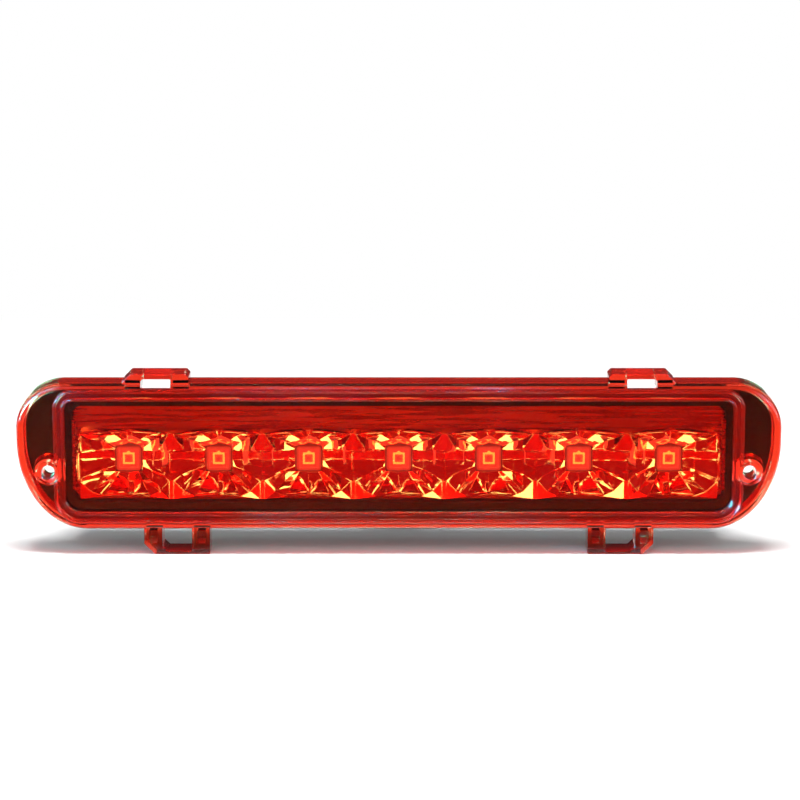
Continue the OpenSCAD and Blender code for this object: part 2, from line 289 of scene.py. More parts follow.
def prism(points, y0, y1, bevel=0.0, segments=3):
    """Solid of an XZ outline from y0 to y1, with its edges rounded by bevel."""
    bm = stacked([(points, y0), (points, y1)])
    if bevel > 0:
        bmesh.ops.bevel(bm, geom=list(bm.edges), offset=bevel, segments=segments, profile=0.5,
                        affect="EDGES", clamp_overlap=True)
    return bm


def block(low, high, bevel=0.0, segments=2):
    """Box between two corners, with rounded edges."""
    points = [(low[0], low[2]), (high[0], low[2]), (high[0], high[2]), (low[0], high[2])]
    return prism(points, low[1], high[1], bevel, segments)


def merge(target, bm, material_index=0):
    """Adds the faces of bm to target with one material index."""
    for face in bm.faces:
        face.material_index = material_index
    mesh = mesh_of(bm, "merge")
    target.from_mesh(mesh)
    bpy.data.meshes.remove(mesh)


# ---------------------------------------------------------------- outlines
def arc(cx, cz, rx, rz, start, end, steps):
    """Points of an elliptic arc, angles in quarter turns."""
    points = []
    for i in range(steps + 1):
        angle = (start + (end - start) * i / steps) * math.pi / 2
        points.append((cx + rx * math.cos(angle), cz + rz * math.sin(angle)))
    return points


ARC_STEPS = 28


def lens_loop(inset):
    """Outline of the lens drawn in by inset, with the same point count for any inset."""
    top_z = LENS_MID + LENS_H / 2 - UPPER_R
    wide_z = LENS_MID + WIDE_RISE
    upper_x = LENS_HALF_W - UPPER_R
    lower_x = LENS_HALF_W - LOWER_SWEEP
    upper = UPPER_R - inset
    sweep = LOWER_SWEEP - inset
    drop = LENS_H / 2 + WIDE_RISE - inset
    return (arc(upper_x, top_z, upper, upper, 0, 1, ARC_STEPS)
            + arc(-upper_x, top_z, upper, upper, 1, 2, ARC_STEPS)
            + arc(-lower_x, wide_z, sweep, drop, 2, 3, ARC_STEPS)
            + arc(lower_x, wide_z, sweep, drop, 3, 4, ARC_STEPS))


def rounded_loop(half_w, low, high, r_low, r_high, steps=ARC_STEPS, x=0.0):
    """Rectangle with its own radius at the upper and the lower corners."""
    return (arc(x + half_w - r_high, high - r_high, r_high, r_high, 0, 1, steps)
            + arc(x - half_w + r_high, high - r_high, r_high, r_high, 1, 2, steps)
            + arc(x - half_w + r_low, low + r_low, r_low, r_low, 2, 3, steps)
            + arc(x + half_w - r_low, low + r_low, r_low, r_low, 3, 4, steps))


def rim_loop(inset):
    return rounded_loop(RIM_HALF_W - inset, RIM_MID - RIM_HALF_H + inset, RIM_MID + RIM_HALF_H - inset,
                        RIM_LOWER_R - inset, RIM_UPPER_R - inset)


def cavity_loop(grow):
    return rounded_loop(CAVITY_HALF_W + grow, CAVITY_LOW - grow, CAVITY_HIGH + grow, 4 + grow, 3 + grow)


def header_loop(grow):
    return rounded_loop(HEADER_HALF_W + grow, HEADER_Z - HEADER_HALF_H - grow,
                        HEADER_Z + HEADER_HALF_H + grow, HEADER_CORNER + grow, HEADER_CORNER + grow, 8)


def swept_band(loop_at, section):
    """Closed ring whose section is a closed list of (inset, y)."""
    return stacked([(loop_at(inset), y) for inset, y in section], capped=False)


# ---------------------------------------------------------------- lens
def lens_shell_body():
    """Front plate and skirt with rounded edges."""
    fillet = 0.5
    lip = 0.3
    section = [(SKIRT_T + fillet, PLATE_BACK), (SKIRT_T + fillet * 0.3, PLATE_BACK + fillet * 0.3),
               (SKIRT_T, PLATE_BACK + fillet), (SKIRT_T, -lip), (SKIRT_T - lip * 0.3, -lip * 0.3),
               (SKIRT_T - lip, 0), (lip, 0), (lip * 0.3, -lip * 0.3), (0, -lip)]
    steps = 6
    for i in range(steps + 1):
        angle = math.pi / 2 * i / steps
        section.append((EDGE_R * (1 - math.cos(angle)), FRONT_Y + EDGE_R * (1 - math.sin(angle))))
    return stacked([(lens_loop(inset), y) for inset, y in section])


def ridge(inset, width, height):
    """Rounded ridge on the front face, sunk a little into the plate."""
    sink = 0.4
    steps = 8
    section = [(inset, FRONT_Y + sink)]
    for i in range(steps + 1):
        angle = math.pi * i / steps
        across = width / 2 * (1 - math.cos(angle))
        section.append((inset + across, FRONT_Y - height * math.sin(angle) ** 0.7))
    section.append((inset + width, FRONT_Y + sink))
    return swept_band(rim_loop, section)


def weld_leg():
    """Wall behind the plate that the housing is welded to."""
    top = PLATE_BACK - 0.4
    section = [(LEG_IN, top), (LEG_IN, LEG_BACK), (LEG_IN + LEG_T, LEG_BACK), (LEG_IN + LEG_T, top)]
    return swept_band(rim_loop, section)


def loop_frame(rise, bar, chamfer, inner_chamfer, corner):
    """Outline of a loop on z = 0, its legs open downwards and its chamfer towards +X."""
    half = LOOP_W / 2
    inner = LOOP_WINDOW / 2
    top = rise - bar
    return [(-half, LOOP_FOOT), (-half, rise - corner), (-half + corner, rise), (half - chamfer, rise),
            (half, rise - chamfer), (half, LOOP_FOOT), (inner, LOOP_FOOT), (inner, top - inner_chamfer),
            (inner - inner_chamfer, top), (-inner, top), (-inner, LOOP_FOOT)]


def upper_loop(side):
    """Bridge-shaped loop above the lens, chamfered towards the lamp's end."""
    base = LENS_MID + LENS_H / 2
    points = loop_frame(TOP_LOOP_RISE, TOP_BAR, TOP_CHAMFER, TOP_CHAMFER / 4, TOP_CORNER)
    placed = [(side * (TOP_LOOP_X + x), base + z) for x, z in points]
    return prism(placed, LOOP_FRONT, 0, 0.3)


def lower_loop(side):
    """Loop below the lens: two legs and a crossbar."""
    base = LENS_MID - LENS_H / 2
    points = loop_frame(LOW_LOOP_RISE, LOW_BAR, LOW_CHAMFER, LOW_CHAMFER / 2, LOW_CORNER)
    placed = [(side * (LOW_LOOP_X + x), base - z) for x, z in points]
    return prism(placed, LOOP_FRONT, 0, 0.3)


def window_cutter(side):
    """Cuts the plate and the skirt wall under an upper loop."""
    inner = LOOP_WINDOW / 2
    base = LENS_MID + LENS_H / 2
    low = (side * TOP_LOOP_X - inner, FRONT_Y - 1, base - WINDOW_DROP)
    high = (side * TOP_LOOP_X + inner, 1, base + 0.6)
    return block(low, high, 0.2)


def skirt_cutter(side):
    """Clears the view through an upper loop behind the plate."""
    inner = LOOP_WINDOW / 2
    base = LENS_MID + LENS_H / 2
    low = (side * TOP_LOOP_X - inner, PLATE_BACK, base - SKIRT_T - 0.2)
    high = (side * TOP_LOOP_X + inner, 1, base - WINDOW_DROP + 0.4)
    return block(low, high)


def pocket_cutters(side):
    """Blind pockets that core out the lower legs."""
    cutters = []
    base = LENS_MID - LENS_H / 2
    for x in (-LOOP_W / 2 + 1.2, LOOP_WINDOW / 2 + 1.4):
        xs = sorted((side * (LOW_LOOP_X + x), side * (LOW_LOOP_X + x + POCKET_W)))
        low = (xs[0], FRONT_Y - 1, base - POCKET_GAP - POCKET_H)
        high = (xs[1], FRONT_Y + POCKET_DEPTH, base - POCKET_GAP)
        cutters.append(block(low, high, 0.3, 3))
    return cutters


def tower(side):
    """Screw tower behind the plate."""
    lip = 0.3
    profile = [(TOWER_FRONT_R, FRONT_Y + 0.6), (TOWER_R, -lip), (TOWER_R - lip * 0.3, -lip * 0.3),
               (TOWER_R - lip, 0)]
    return lathe(profile, side * TOWER_X, 0)


def tower_hole(side):
    """Cutter for a screw's head recess and its bore, with soft mouths."""
    floor = FRONT_Y + RECESS_D
    soft = 0.35
    profile = [(RECESS_R + soft, FRONT_Y - 2), (RECESS_R + soft, FRONT_Y - 0.02),
               (RECESS_R + soft * 0.3, FRONT_Y + soft * 0.3), (RECESS_R, FRONT_Y + soft),
               (RECESS_R, floor), (HOLE_R + soft, floor), (HOLE_R + soft * 0.3, floor + soft * 0.3),
               (HOLE_R, floor + soft), (HOLE_R, 1)]
    return lathe(profile, side * TOWER_X, 0)


def rim_depth(x, z):
    """Distance inside the rim's outer line; negative outside it."""
    over_x = abs(x) - (RIM_HALF_W - RIM_MEAN_R)
    over_z = abs(z - RIM_MID) - (RIM_HALF_H - RIM_MEAN_R)
    outside = math.hypot(max(over_x, 0), max(over_z, 0))
    return RIM_MEAN_R - outside - min(max(over_x, over_z), 0)


# The plate's window face also has all its corners on the rim; it is larger than this, in mm2.
LARGEST_EDGE_FACE = 1500
RIM_MARGIN = 0.5


def is_edge_face(face):
    """True for the ridges and loops, which take the milky red: painted light, a brighter red along the
    edges; towers stay clear.
    """
    corners = [vert.co for vert in face.verts]
    reach = TOWER_R + 0.3
    if all(math.hypot(abs(co.x) - TOWER_X, co.z) < reach for co in corners):
        return False
    depths = [rim_depth(co.x, co.z) for co in corners]
    if min(depths) > -RIM_MARGIN and max(depths) < RIDGE_STEP + RIDGE_W + RIM_MARGIN:
        in_front = max(co.y for co in corners) < PLATE_BACK - 0.1
        return in_front and face.calc_area() < LARGEST_EDGE_FACE
    edge = LENS_H / 2 - 0.1
    return all(abs(co.z - LENS_MID) > edge for co in corners)


def make_lens(clear, milky_lit_edges):
    """Plate, skirt, ridges, weld leg, towers and loops as one moulding."""
    parts = [("UNION", ridge(0, RIDGE_W, RIDGE_H)), ("UNION", ridge(RIDGE_STEP, RIDGE_W, RIDGE_H)),
             ("UNION", weld_leg())]
    for side in (-1, 1):
        parts.append(("UNION", tower(side)))
        parts.append(("UNION", lower_loop(side)))
        parts.append(("UNION", upper_loop(side)))
    for side in (-1, 1):
        parts.append(("DIFFERENCE", window_cutter(side)))
        parts.append(("DIFFERENCE", skirt_cutter(side)))
        parts.append(("DIFFERENCE", tower_hole(side)))
        parts += [("DIFFERENCE", cutter) for cutter in pocket_cutters(side)]
    bm = combined(lens_shell_body(), parts)
    # Ridges and loops get the milky plastic: painted light that makes the edges a brighter red.
    for face in bm.faces:
        face.material_index = 1 if is_edge_face(face) else 0
    return piece("lens_moulding", bm, [clear, milky_lit_edges], ["lens"])


# ---------------------------------------------------------------- reflector
BOWL_R0 = 4.2
BOWL_START = LED_FRONT + 0.6
BOWL_RISE = (BOWL_START - APRON_FRONT) / (CELL_HALF_H ** 2 - BOWL_R0 ** 2)
LAND = 0.7
SIDE_Z = 4.1
LAND_Z = SIDE_Z + 0.5
FLAT_SHARE = 0.72
SIDE_SHARE = 0.8
LED_CLEAR = LED_SIDE / 2 + 0.2
FACET_TOP_X = 7.2
FACET_LOW_X = 6.8
RING_SHARES = (0.0, 0.36, 0.68, 1.0)
JITTER = 0.3


def cell_x(i):
    return (i - (CELLS - 1) / 2) * PITCH


def bowl_y(x, z):
    """Depth of the bowl; round the lamp it stays level, a little behind the lamp's face."""
    depth = BOWL_START - BOWL_RISE * (x * x + z * z - BOWL_R0 ** 2)
    return max(DIVIDER_FRONT, min(depth, BOWL_START))


def cell_rays(low, high):
    """(inner end, outer end, flat) of the lines that split a cell into facets, going round it."""
    near = LED_CLEAR
    mid = near * FLAT_SHARE
    side = mid * SIDE_SHARE
    top = CELL_HALF_H
    low_in = low + LAND
    high_in = high - LAND
    return [
        ((near, -mid), (high_in, -LAND_Z), False), ((near, -side), (high, -SIDE_Z), False),
        ((near, side), (high, SIDE_Z), False), ((near, mid), (high_in, LAND_Z), False),
        ((near, near), (high_in, top), False), ((mid, near), (FACET_TOP_X, top), True),
        ((0.0, near), (0.0, top), True), ((-mid, near), (-FACET_TOP_X, top), True),
        ((-near, near), (low_in, top), False), ((-near, mid), (low_in, LAND_Z), False),
        ((-near, side), (low, SIDE_Z), False), ((-near, -side), (low, -SIDE_Z), False),
        ((-near, -mid), (low_in, -LAND_Z), False), ((-near, -near), (low_in, -top), False),
        ((-mid, -near), (-FACET_LOW_X, -top), True), ((0.0, -near), (0.0, -top), True),
        ((mid, -near), (FACET_LOW_X, -top), True), ((near, -near), (high_in, -top), False)]


def ray_point(ray, share, seed):
    """Point on a ray: flat rays keep a straight chord, the others follow a shaken bowl."""
    inner, outer, flat = ray
    x = inner[0] + (outer[0] - inner[0]) * share
    z = inner[1] + (outer[1] - inner[1]) * share
    if flat or share in (0.0, 1.0):
        y0 = bowl_y(*inner)
        return x, y0 + (bowl_y(*outer) - y0) * share, z
    x += JITTER * noise.noise(seed + Vector((9, 0, 0)))
    z += JITTER * noise.noise(seed + Vector((0, 9, 0)))
    return x, bowl_y(x, z) + JITTER * noise.noise(seed), z


def add_cell(bm, index):
    """Faceted bowl of one cell."""
    cx = cell_x(index)
    low = -REFLECTOR_HALF_W - cx if index == 0 else -PITCH / 2
    high = REFLECTOR_HALF_W - cx if index == CELLS - 1 else PITCH / 2
    rays = cell_rays(low, high)
    rings = []
    for k, share in enumerate(RING_SHARES):
        ring = []
        for n, ray in enumerate(rays):
            x, y, z = ray_point(ray, share, Vector((n * 1.7, k * 3.1, index * 5.3)))
            ring.append(bm.verts.new((cx + x, y, LED_Z + z)))
        rings.append(ring)
    count = len(rays)
    for k in range(len(rings) - 1):
        for n in range(count):
            m = (n + 1) % count
            quad = (rings[k][n], rings[k][m], rings[k + 1][m], rings[k + 1][n])
            if rays[n][2] and rays[m][2]:
                bm.faces.new(quad)
            elif (n + k) % 2:
                bm.faces.new((quad[0], quad[1], quad[2]))
                bm.faces.new((quad[0], quad[2], quad[3]))
            else:
                bm.faces.new((quad[0], quad[1], quad[3]))
                bm.faces.new((quad[1], quad[2], quad[3]))


def add_lands(bm, x):
    """Flat strips above and below the sharp part of the divider at x."""
    land_x = PITCH / 2 - LAND
    for sign in (-1, 1):
        tip = bm.verts.new((x, bowl_y(PITCH / 2, SIDE_Z), LED_Z + sign * SIDE_Z))
        inner, outer = [[bm.verts.new((x + side * LAND, bowl_y(land_x, z), LED_Z + sign * z))
                         for side in (-1, 1)] for z in (LAND_Z, CELL_HALF_H)]
        bm.faces.new((tip, inner[0], inner[1]))
        bm.faces.new((inner[0], outer[0], outer[1], inner[1]))


def inside_window(x, z):
    """True next to a lamp's window."""
    reach = LED_CLEAR + 0.3
    return abs(z - LED_Z) < reach and any(abs(x - cell_x(i)) < reach for i in range(CELLS))


def extend_borders(bm):
    """Runs the outer border back to the apron and each window's border back round its lamp."""
    borders = {True: [], False: []}
    for edge in bm.edges:
        if edge.is_boundary:
            mid = (edge.verts[0].co + edge.verts[1].co) / 2
            borders[inside_window(mid.x, mid.z)].append(edge)
    for inner, edges in borders.items():
        result = bmesh.ops.extrude_edge_only(bm, edges=edges)
        for item in result["geom"]:
            if isinstance(item, bmesh.types.BMVert):
                item.co.y = LED_FRONT + 1.4 if inner else APRON_FRONT + 0.1


def make_reflector(mirror):
    """Seven faceted bowls and their dividers as one thin shell."""
    bm = bmesh.new()
    for index in range(CELLS):
        add_cell(bm, index)
    for index in range(CELLS - 1):
        add_lands(bm, cell_x(index) + PITCH / 2)
    bmesh.ops.remove_doubles(bm, verts=bm.verts, dist=0.01)
    extend_borders(bm)
    bmesh.ops.recalc_face_normals(bm, faces=bm.faces)
    if sum(face.normal.y * face.calc_area() for face in bm.faces) > 0:
        bmesh.ops.reverse_faces(bm, faces=bm.faces)
    creases = [edge for edge in bm.edges
               if not edge.is_boundary and edge.calc_face_angle(0) > math.radians(7)]
    bmesh.ops.bevel(bm, geom=creases, offset=0.1, segments=2, profile=0.5, affect="EDGES",
                    clamp_overlap=True)
    obj = piece("reflector_cells", bm, [mirror], ["reflector"], smooth_angle=40)
    shell = obj.modifiers.new("shell", "SOLIDIFY")
    shell.thickness = 0.7 * MM
    shell.offset = -1
    return obj


def make_apron(material):
    """Plate around the cells, with the lips that stand up at its ends."""
    soft = 0.25
    lap, corner = 0.3, 0.3
    outer = cavity_loop(-0.2)
    hole_low = LED_Z - CELL_HALF_H + lap
    hole_high = LED_Z + CELL_HALF_H - lap
    hole = rounded_loop(REFLECTOR_HALF_W - lap, hole_low, hole_high, corner, corner)
    back = APRON_FRONT + APRON_T
    bm = stacked([(cavity_loop(-0.2 - soft), APRON_FRONT), (outer, APRON_FRONT + soft), (outer, back),
                  (hole, back), (hole, APRON_FRONT)], capped=False)
    for side in (-1, 1):
        lip_x = side * (CAVITY_HALF_W - 0.7)
        low = (lip_x - LIP_T / 2, LIP_FRONT, CAVITY_LOW + LIP_RAISE)
        merge(bm, block(low, (lip_x + LIP_T / 2, back, LIP_HIGH), soft, 3))
    return piece("reflector_apron", bm, [material], ["reflector"])


# ---------------------------------------------------------------- lamps
def led_loop(inset, x):
    half = LED_SIDE / 2 - inset
    radius = max(0.2, LED_CORNER - inset)
    return rounded_loop(half, LED_Z - half, LED_Z + half, radius, radius, 6, x)


def make_led(index, body, pad, flank):
    """Moulded lamp: square body with a shallow window, its pad frame and its dome."""
    x = cell_x(index)
    sections = [(0, LED_BACK), (0, LED_FRONT + 0.3), (0.08, LED_FRONT + 0.1), (0.28, LED_FRONT),
                (0.85, LED_FRONT), (0.95, LED_WELL)]
    bm = stacked([(led_loop(inset, x), y) for inset, y in sections])
    sunk, proud = LED_WELL + 0.05, LED_WELL - 0.06
    frame_loops = [(PAD_HALF, sunk), (PAD_HALF, proud), (PAD_HALF - PAD_WIDTH, proud),
                   (PAD_HALF - PAD_WIDTH, sunk)]
    merge(bm, stacked([(rounded_loop(h, LED_Z - h, LED_Z + h, 0.15, 0.15, 3, x), y)
                       for h, y in frame_loops], capped=False), 1)
    top = LED_Z + PAD_HALF
    notch = [(x - 0.75, top), (x + 0.75, top), (x, top + 0.6)]
    merge(bm, prism(notch, LED_WELL - 0.05, sunk), 1)
    dome = [(1.0, sunk), (1.0, LED_WELL - 0.1), (0.85, LED_WELL - 0.3), (0.6, LED_WELL - 0.2),
            (0.42, LED_WELL - 0.25), (0.2, LED_WELL - 0.34)]
    merge(bm, lathe(dome, x, LED_Z, 24))
    # The sides take the flank resin, which glows less than the face: painted light.
    rim = LED_SIDE / 2 - 0.3
    for face in bm.faces:
        middle = face.calc_center_median()
        off_centre = max(abs(middle.x - x), abs(middle.z - LED_Z))
        if off_centre > rim and face.normal.y > -0.7:
            face.material_index = 2
    node = "led_%d" % (index + 1)
    return piece(node + "_body", bm, [body, pad, flank], [node])


# ---------------------------------------------------------------- housing and gasket
def tower_cutter(side):
    rod = TOWER_R + TOWER_CLEAR
    return lathe([(rod, LEG_BACK - 1), (rod, GASKET_BACK + 1)], side * TOWER_X, 0)


def notch_cutter(side, drop):
    half = LOOP_WINDOW / 2 + 0.5
    base = LENS_MID + LENS_H / 2
    low = (side * TOP_LOOP_X - half, LEG_BACK - 1, base - drop)
    return block(low, (side * TOP_LOOP_X + half, GASKET_BACK + 1, base + 1))


def housing_shell():
    """Cup with a wide flange; its section runs from the inside floor out to the rear face."""
    soft = 0.3
    corner = 1.2
    flange = SKIRT_T + FLANGE_GAP
    inner_back = HOUSING_BACK - HOUSING_T
    sections = [(cavity_loop(-0.8), inner_back), (cavity_loop(0), inner_back - 0.8),
                (cavity_loop(0), LEG_BACK), (lens_loop(flange + soft), LEG_BACK),
                (lens_loop(flange), LEG_BACK + soft), (lens_loop(flange), FLANGE_BACK - soft),
                (lens_loop(flange + soft), FLANGE_BACK), (cavity_loop(HOUSING_T + 0.5), FLANGE_BACK),
                (cavity_loop(HOUSING_T), FLANGE_BACK + 0.5)]
    steps = 5
    for i in range(steps + 1):
        angle = math.pi / 2 * i / steps
        drawn = corner * (1 - math.cos(angle))
        y = HOUSING_BACK - corner * (1 - math.sin(angle))
        sections.append((cavity_loop(HOUSING_T - drawn), y))
    return stacked(sections)


def wall_bore(radius, x):
    """Cutter through the housing's rear wall."""
    return lathe([(radius, HOUSING_BACK - 5), (radius, HOUSING_BACK + 1)], x, HEADER_Z)


def housing_parts():
    """Ribs and board posts to add; clearances, ejector marks and bores to cut."""
    parts = []
    for i in range(RIBS):
        x = (i - (RIBS - 1) / 2) * RIB_PITCH
        for low, high in ((CAVITY_LOW - HOUSING_T - RIB_H, CAVITY_LOW - HOUSING_T + 0.6),
                          (CAVITY_HIGH + HOUSING_T - 0.6, CAVITY_HIGH + HOUSING_T + RIB_H)):
            corner = (x + RIB_T / 2, HOUSING_BACK - 0.3, high)
            parts.append(("UNION", block((x - RIB_T / 2, RIB_FRONT, low), corner, 0.3, 3)))
    for pitches in POST_PITCHES:
        profile = [(POST_R - 0.3, 8.3), (POST_R, 8.6), (POST_R, HOUSING_BACK - 1)]
        parts.append(("UNION", lathe(profile, pitches * PITCH, LED_Z)))
    mark = [(MARK_R, HOUSING_BACK + 1), (MARK_R, HOUSING_BACK - 0.2),
            (MARK_R - 0.15, HOUSING_BACK - 0.3)]
    for side in (-1, 1):
        parts.append(("DIFFERENCE", tower_cutter(side)))
        parts.append(("DIFFERENCE", notch_cutter(side, NOTCH_DROP)))
        for x in MARK_XS:
            parts.append(("DIFFERENCE", lathe(mark, side * x, HEADER_Z)))
    parts.append(("DIFFERENCE", wall_bore(HEADER_NECK_R + 0.1, 0)))
    parts.append(("DIFFERENCE", wall_bore(VENT_R, VENT_X)))
    return parts


def make_housing(material):
    bm = combined(housing_shell(), housing_parts())
    return piece("housing_moulding", bm, [material], ["housing"])


def make_gasket(material):
    """Foam ring between the skirt and the housing, with soft edges."""
    soft = 0.5
    outer = SKIRT_T + GASKET_GAP
    inner = HOUSING_T + 0.1
    sections = [(lens_loop(outer), FLANGE_BACK), (lens_loop(outer), GASKET_BACK - soft),
                (lens_loop(outer + soft * 0.3), GASKET_BACK - soft * 0.3),
                (lens_loop(outer + soft), GASKET_BACK), (cavity_loop(inner + soft), GASKET_BACK),
                (cavity_loop(inner), GASKET_BACK - soft), (cavity_loop(inner), FLANGE_BACK)]
    parts = []
    for side in (-1, 1):
        parts.append(("DIFFERENCE", tower_cutter(side)))
        parts.append(("DIFFERENCE", notch_cutter(side, GASKET_NOTCH_DROP)))
    bm = combined(stacked(sections, capped=False), parts)
    return piece("gasket_foam_ring", bm, [material], ["perimeter_gasket"])


def make_header(material):
    """Connector header: flange, socket with a rounded mouth, neck and latch ramp."""
    soft = 0.3
    sections = [(header_loop(HEADER_FLANGE), HOUSING_BACK),
                (header_loop(HEADER_FLANGE), HEADER_FLOOR - soft),
                (header_loop(HEADER_FLANGE - soft), HEADER_FLOOR), (header_loop(0.4), HEADER_FLOOR),
                (header_loop(0), HEADER_FLOOR + 0.4), (header_loop(0), HEADER_END - soft),
                (header_loop(-soft), HEADER_END), (header_loop(-HEADER_WALL + soft), HEADER_END),
                (header_loop(-HEADER_WALL), HEADER_END - soft),
                (header_loop(-HEADER_WALL), HEADER_FLOOR + 0.3),
                (header_loop(-HEADER_WALL - 0.3), HEADER_FLOOR)]
    top = HEADER_Z + HEADER_HALF_H
    latch_y = HOUSING_BACK + 5
    latch = block((-2.5, latch_y, top - 0.4), (2.5, latch_y + 3, top + 1.0), 0.25, 3)
    neck_ends = [(HEADER_NECK_R, HOUSING_BACK - HOUSING_T), (HEADER_NECK_R, HOUSING_BACK + 0.5)]
    bm = combined(stacked(sections), [("UNION", latch), ("UNION", lathe(neck_ends, 0, HEADER_Z))])
    return piece("header_moulding", bm, [material], ["connector_header"])


# ---------------------------------------------------------------- materials
class Shader:
    """A material's node tree, built step by step on object coordinates in metres."""

    def __init__(self, name):
        self.material = bpy.data.materials.new(name)
        self.material.use_nodes = True
        self.tree = self.material.node_tree
        self.tree.nodes.clear()
        self.out = self.add("ShaderNodeOutputMaterial")
        self.coordinates = self.add("ShaderNodeTexCoord").outputs["Object"]

    def add(self, kind):
        return self.tree.nodes.new(kind)

    def link(self, source, target):
        self.tree.links.new(source, target)

    def principled(self, color, roughness, metallic=0.0):
        """The material's main shader."""
        node = self.add("ShaderNodeBsdfPrincipled")
        node.inputs["Base Color"].default_value = (*color, 1)
        node.inputs["Roughness"].default_value = roughness
        node.inputs["Metallic"].default_value = metallic
        self.bsdf = node
        return node

    def stretched(self, stretch):
        mapping = self.add("ShaderNodeMapping")
        mapping.inputs["Scale"].default_value = stretch
        self.link(self.coordinates, mapping.inputs["Vector"])
        return mapping.outputs["Vector"]

    def noise(self, scale, detail=3.0, stretch=(1, 1, 1)):
        """Cloudy value from 0 to 1."""
        node = self.add("ShaderNodeTexNoise")
        node.inputs["Scale"].default_value = scale
        node.inputs["Detail"].default_value = detail
        self.link(self.stretched(stretch), node.inputs["Vector"])
        return node.outputs["Fac"]

    def cells(self, scale):
        """Distance to the middle of rounded cells."""
        node = self.add("ShaderNodeTexVoronoi")
        node.inputs["Scale"].default_value = scale
        self.link(self.stretched((1, 1, 1)), node.inputs["Vector"])
        return node.outputs["Distance"]

    def math(self, operation, first, second):
        node = self.add("ShaderNodeMath")
        node.operation = operation
        self.link(first, node.inputs[0])
        if isinstance(second, float):
            node.inputs[1].default_value = second
        else:
            self.link(second, node.inputs[1])
        return node.outputs["Value"]

    def spread(self, source, low, high, start=0.3, end=0.7):
        """Maps start..end of a value to low..high."""
        node = self.add("ShaderNodeMapRange")
        node.inputs["From Min"].default_value = start
        node.inputs["From Max"].default_value = end
        node.inputs["To Min"].default_value = low
        node.inputs["To Max"].default_value = high
        self.link(source, node.inputs["Value"])
        return node.outputs["Result"]

    def tinted(self, source, dark, light, start=0.3, end=0.7):
        """Base colour that runs from dark to light with a value."""
        ramp = self.add("ShaderNodeValToRGB")
        ramp.color_ramp.elements[0].position = start
        ramp.color_ramp.elements[0].color = (*dark, 1)
        ramp.color_ramp.elements[1].position = end
        ramp.color_ramp.elements[1].color = (*light, 1)
        self.link(source, ramp.inputs["Fac"])
        self.link(ramp.outputs["Color"], self.bsdf.inputs["Base Color"])

    def rough(self, source, low, high):
        self.link(self.spread(source, low, high), self.bsdf.inputs["Roughness"])

    def bump(self, source, strength, distance_mm):
        """Adds relief to any there already."""
        node = self.add("ShaderNodeBump")
        node.inputs["Strength"].default_value = strength
        node.inputs["Distance"].default_value = distance_mm * MM
        self.link(source, node.inputs["Height"])
        previous = getattr(self, "normal", None)
        if previous:
            self.link(previous, node.inputs["Normal"])
        self.normal = node.outputs["Normal"]
        self.link(self.normal, self.bsdf.inputs["Normal"])

    def glow(self, color, strength):
        self.bsdf.inputs["Emission Color"].default_value = (*color, 1)
        self.bsdf.inputs["Emission Strength"].default_value = strength

    def done(self):
        self.link(self.bsdf.outputs["BSDF"], self.out.inputs["Surface"])
        return self.material


def lens_plastic(name, color, clarity, haze):
    """Red acrylic: faint flow waviness and fine handling marks, and tinted shadows."""
    s = Shader(name)
    glass = s.principled(color, haze)
    glass.inputs["IOR"].default_value = 1.49
    glass.inputs["Transmission Weight"].default_value = clarity
    s.rough(s.noise(60, 4), haze / 2, haze * 2)
    s.bump(s.noise(90, 2, (0.5, 1, 2)), 0.10, 0.10)
    clear = s.add("ShaderNodeBsdfTransparent")
    clear.inputs["Color"].default_value = (0.62, 0.04, 0.02, 1)
    path = s.add("ShaderNodeLightPath")
    mix = s.add("ShaderNodeMixShader")
    s.link(path.outputs["Is Shadow Ray"], mix.inputs["Fac"])
    s.link(glass.outputs["BSDF"], mix.inputs[1])
    s.link(clear.outputs["BSDF"], mix.inputs[2])
    s.link(mix.outputs["Shader"], s.out.inputs["Surface"])
    return s.material


def mirror_metal():
    """Vacuum-metallised bowls with slight ripples from the moulding."""
    s = Shader("reflector_mirror")
    s.principled((0.93, 0.92, 0.90), 0.03, 1.0)
    s.rough(s.noise(300, 3), 0.015, 0.045)
    s.bump(s.noise(260, 2), 0.2, 0.1)
    return s.done()


def apron_metal():
    """Satin metallised plate, tinted red, with long faint streaks along the lamp."""
    s = Shader("reflector_apron")
    s.principled((0.6, 0.12, 0.08), 0.25, 1.0)
    streaks = s.noise(40, 5, (0.25, 1, 9))
    s.tinted(streaks, (0.44, 0.07, 0.05), (0.54, 0.09, 0.07))
    s.rough(s.noise(200, 3, (0.2, 1, 4)), 0.2, 0.34)
    s.bump(streaks, 0.35, 0.25)
    return s.done()


def led_resin(name, glow):
    """Pale lamp body with cloudy filler; it glows, for the look, though the lamp is not lit."""
    s = Shader(name)
    s.principled((0.95, 0.78, 0.76), 0.32)
    s.tinted(s.noise(700, 4), (0.85, 0.62, 0.6), (0.97, 0.84, 0.82))
    s.rough(s.noise(1500, 2), 0.25, 0.42)
    s.bump(s.noise(2200, 2), 0.1, 0.03)
    s.glow((1.0, 0.9, 1.2), glow)
    return s.done()


def led_pad():
    """Gold-coloured bond frame of a lamp; it glows strongly, to show through the red lens."""
    s = Shader("led_pad")
    s.principled((0.95, 0.6, 0.1), 0.3, 0.6)
    s.rough(s.noise(3000, 2), 0.2, 0.45)
    s.glow((1.0, 0.9, 0.35), 14.0)
    return s.done()


def moulded(name, color, roughness, grain=1400, texture=0.12, lift=0.05):
    """Moulded plastic: fine spark-eroded grain, uneven sheen and slightly dusty patches."""
    s = Shader(name)
    s.principled(color, roughness)
    light = tuple(min(1.0, v * 1.35 + 0.004) for v in color)
    s.tinted(s.noise(45, 5), color, light)
    s.rough(s.noise(160, 4), roughness * 0.8, min(1.0, roughness * 1.25))
    s.bump(s.noise(grain, 3), texture, lift)
    return s.done()


